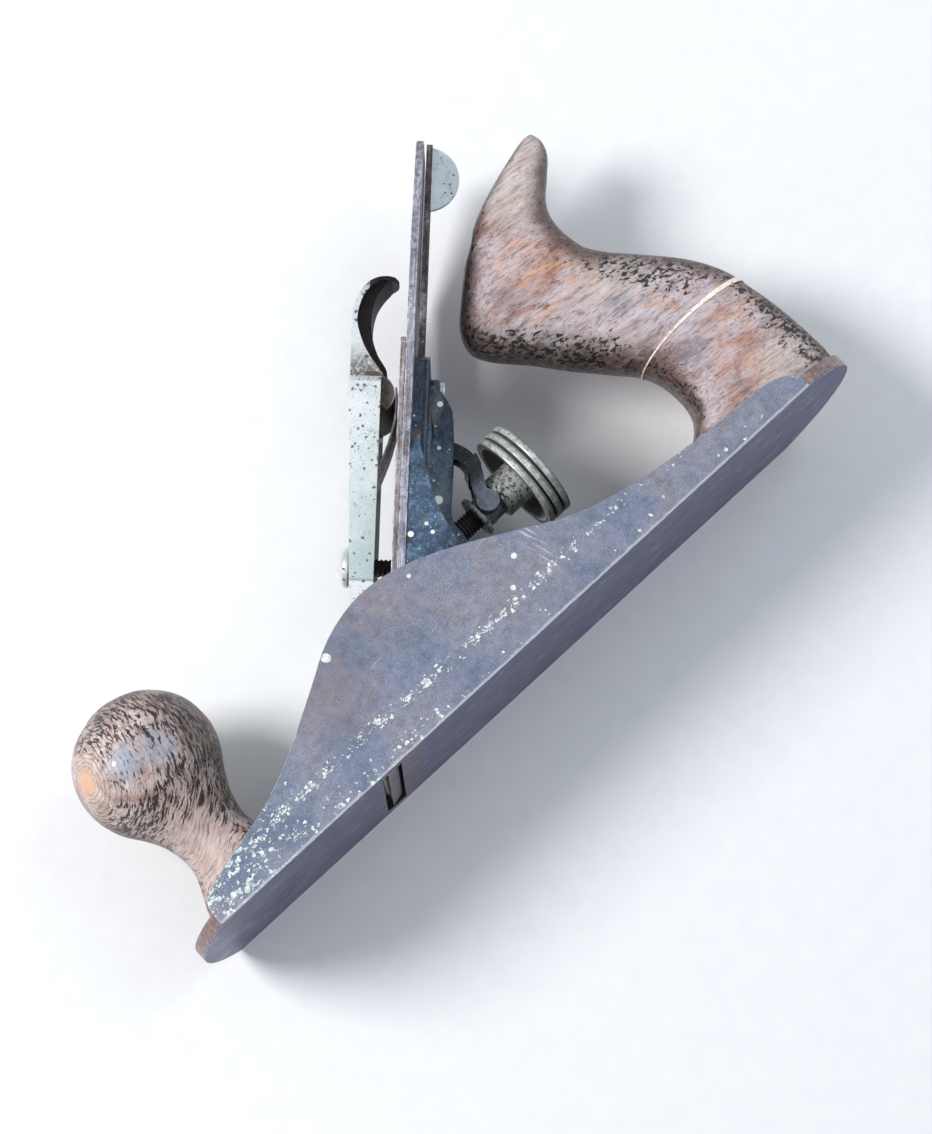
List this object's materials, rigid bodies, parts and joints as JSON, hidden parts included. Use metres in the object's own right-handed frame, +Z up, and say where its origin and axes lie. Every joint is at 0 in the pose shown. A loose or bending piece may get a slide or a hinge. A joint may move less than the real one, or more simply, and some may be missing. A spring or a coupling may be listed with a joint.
{
  "type": "bench plane",
  "caption": "Metal-bodied smoothing plane with arched cheeks, ball-shaped wooden front knob, wooden rear handle, angled iron, lever cap, depth wheel and lateral lever.",
  "frame": {"origin": "on the sole, under the middle of the plane's length and width", "axes": "+X along the sole towards the toe, +Y to the plane's left side, +Z up out of the sole"},
  "size_m": [0.248, 0.062, 0.1345],
  "materials": {
    "casting": "worn grey-brown patina",
    "frog_paint": "worn dark blue-grey paint",
    "worn_wood": "worn varnish",
    "glue": "dried glue",
    "old_steel": "rust-stained",
    "screw_steel": "dull, dark",
    "nickel": "dull nickel plate, pitted",
    "lever_plate": "nickel plate, brown on its back",
    "tab_nickel": "nickel plate on the thumb tab",
    "wheel_brass": "tarnished",
    "nut_brass": "tarnished",
    "yoke_paint": "worn"
  },
  "bodies": {
    "plane_body": {"body_casting": "casting", "front_knob": "worn_wood", "knob_bolt": "screw_steel", "knob_nut": "nut_brass", "tote_upper": "worn_wood", "tote_lower": "worn_wood", "tote_glue_line": "glue", "tote_rod": "screw_steel", "tote_nut": "nut_brass", "frog_screws": "screw_steel", "frog_washers": "screw_steel"},
    "frog_assembly": {"frog": "frog_paint", "frog_clip": "screw_steel", "frog_clip_screw": "screw_steel", "adjusting_stud": "screw_steel", "yoke_pin": "screw_steel", "lateral_rivet": "screw_steel", "lever_cap_screw": "nickel"},
    "frog_adjuster": {"frog_adjusting_screw": "screw_steel"},
    "depth_nut": {"adjusting_bush": "nut_brass"},
    "depth_wheel": {"adjusting_wheel": "wheel_brass"},
    "depth_yoke": {"yoke": "yoke_paint"},
    "lateral_adjuster": {"lateral_lever": "tab_nickel"},
    "roller": {"lateral_roller": "screw_steel"},
    "iron_screw": {"cap_iron_screw": "screw_steel"},
    "cutter": {"plane_iron": "old_steel", "cap_iron": "old_steel"},
    "clamp": {"lever_cap": "nickel", "lever_cap_spring": "old_steel", "spring_rivet": "screw_steel", "cam_pin": "screw_steel"},
    "thumb_lever": {"cam_lever": "lever_plate"}
  },
  "joints": [
    {"name": "frog_slide", "type": "slide", "parent": "plane_body", "child": "frog_assembly", "axis": [1, 0, 0], "range_m": [-0.0012, 0.0012]},
    {"name": "frog_screw_turn", "type": "hinge", "parent": "frog_assembly", "child": "frog_adjuster", "pos_m": [-0.006, 0, 0.008], "axis": [1, 0, 0], "range_deg": [-360, 360]},
    {"name": "depth_wheel_turn", "type": "hinge", "parent": "depth_nut", "child": "depth_wheel", "pos_m": [-0.03, 0, 0.0415], "axis": [1, 0, 0], "range_deg": [-1350, 1350]},
    {"name": "nut_travel", "type": "slide", "parent": "frog_assembly", "child": "depth_nut", "axis": [1, 0, 0], "range_m": [-0.004, 0.004]},
    {"name": "yoke_rock", "type": "hinge", "parent": "frog_assembly", "child": "depth_yoke", "pos_m": [-0.02174, 0, 0.06364], "axis": [0, 1, 0], "range_deg": [-11, 11]},
    {"name": "iron_depth", "type": "slide", "parent": "frog_assembly", "child": "iron_screw", "axis": [-0.7071, 0, 0.7071], "range_m": [-0.00176, 0.00176]},
    {"name": "iron_tilt", "type": "hinge", "parent": "iron_screw", "child": "cutter", "pos_m": [-0.00477, 0, 0.05657], "axis": [0.7071, 0, 0.7071], "range_deg": [-0.81, 0.81]},
    {"name": "lateral_swing", "type": "hinge", "parent": "frog_assembly", "child": "lateral_adjuster", "pos_m": [-0.02916, 0, 0.08096], "axis": [0.7071, 0, 0.7071], "range_deg": [-8, 8]},
    {"name": "roller_spin", "type": "hinge", "parent": "lateral_adjuster", "child": "roller", "pos_m": [-0.02386, 0, 0.07566], "axis": [0.7071, 0, 0.7071], "continuous": true},
    {"name": "lever_cap_slide", "type": "slide", "parent": "frog_assembly", "child": "clamp", "axis": [-0.7071, 0, 0.7071], "range_m": [0, 0.008]},
    {"name": "cam_lever_flip", "type": "hinge", "parent": "clamp", "child": "thumb_lever", "pos_m": [-0.01714, 0, 0.08662], "axis": [0, 1, 0], "range_deg": [0, 90]}
  ],
  "couplings": [
    {"joint": "frog_screw_turn", "follows": "frog_slide", "rad_per_m": 5200},
    {"joint": "depth_wheel_turn", "follows": "iron_depth", "rad_per_m": 13387},
    {"joint": "nut_travel", "follows": "iron_depth", "ratio": 2.2584},
    {"joint": "yoke_rock", "follows": "iron_depth", "rad_per_m": -102.03},
    {"joint": "iron_tilt", "follows": "lateral_swing", "ratio": -0.1}
  ]
}
